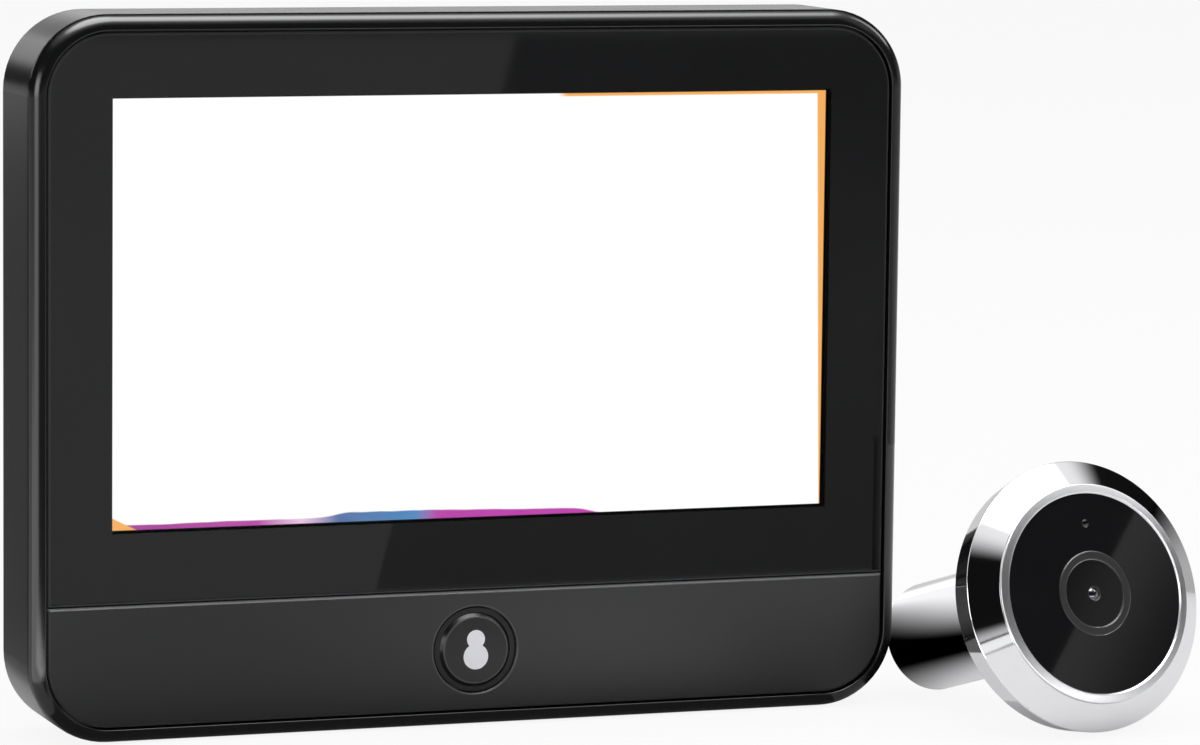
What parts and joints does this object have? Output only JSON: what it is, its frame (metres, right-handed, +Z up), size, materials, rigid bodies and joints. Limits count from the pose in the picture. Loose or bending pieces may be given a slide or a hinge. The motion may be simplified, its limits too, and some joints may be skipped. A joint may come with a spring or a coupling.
{
  "type": "video door phone",
  "caption": "Indoor door-viewer monitor with a glass-covered screen and round view button, and its outdoor camera: a bevelled chrome head with a dark face on a through-door barrel.",
  "frame": {"origin": "centre of the monitor's flat lower face, on which it stands", "axes": "+Z up, the screen faces -Y, +X to the right as seen from the front"},
  "size_m": [0.1488, 0.0472, 0.091],
  "materials": {
    "housing": "satin black moulded plastic",
    "frame": "satin black moulded plastic",
    "cover_glass": "gloss, black printed border",
    "grained_panel": "dark anodised, fine grain",
    "tape": "black adhesive",
    "display": "lit screen",
    "steel": "plain sheet",
    "chassis": "moulded plastic",
    "flex": "amber film",
    "black_plastic": "moulded",
    "pale_plastic": "moulded",
    "circuit_board": "solder mask",
    "battery_foil": "foil pouch",
    "wire": "insulation",
    "foam": "closed-cell foam",
    "screw_steel": "dark zinc",
    "button": "satin cap with a polished bevel",
    "button_icon": "white second colour",
    "chrome": "mirror",
    "face_glass": "gloss black",
    "lens_ring": "dark grey satin",
    "lens_barrel": "anti-glare black",
    "lens_glass": "coated lens",
    "microphone": "capsule",
    "soft_rubber": "soft",
    "plug_metal": "die-cast"
  },
  "bodies": {
    "monitor": {"rear_housing": "housing", "front_frame": "frame", "cover_glass": "cover_glass", "lower_panel": "grained_panel", "glass_tape": "tape", "panel_tape": "tape", "display_cell": "display", "backlight_tray": "steel", "display_chassis": "chassis", "display_ribbon": "flex", "display_connector": "black_plastic", "main_board": "circuit_board", "processor_shield": "steel", "memory_chips": "black_plastic", "battery_tape": "tape", "battery": "battery_foil", "battery_socket": "pale_plastic", "battery_lead": "wire", "speaker": "steel", "speaker_gasket": "foam", "speaker_lead": "wire", "tact_switch": "black_plastic", "usb_socket": "steel", "card_socket": "steel", "power_switch": "black_plastic", "camera_socket": "pale_plastic", "chassis_screws": "screw_steel", "board_screws": "screw_steel", "housing_screws": "screw_steel"},
    "view_button": {"button_cap": "button", "button_icon": "button_icon", "button_plunger": "black_plastic"},
    "power_slider": {"power_knob": "black_plastic"},
    "outdoor_unit": {"head_bezel": "chrome", "barrel": "chrome", "face_window": "face_glass", "window_tape": "tape", "lens_ring": "lens_ring", "lens_barrel": "lens_barrel", "front_lens": "lens_glass", "lens_holder": "black_plastic", "image_sensor": "black_plastic", "sensor_board": "circuit_board", "sensor_screws": "screw_steel", "microphone": "microphone", "microphone_boot": "soft_rubber", "door_gasket": "foam", "tail_plug": "plug_metal", "cable_grommet": "soft_rubber"}
  },
  "joints": [
    {"name": "view_button_press", "type": "slide", "parent": "monitor", "child": "view_button", "axis": [0, 1, 0], "range_m": [0, 0.00035], "stiffness_N_per_m": 1500, "springref_m": -0.0002},
    {"name": "power_switch_slide", "type": "slide", "parent": "monitor", "child": "power_slider", "axis": [0, 0, 1], "range_m": [0, 0.002]},
    {"name": "outdoor_unit_move", "type": "slide", "parent": "monitor", "child": "outdoor_unit", "axis": [1, 0, 0], "range_m": [0, 0.06]}
  ]
}
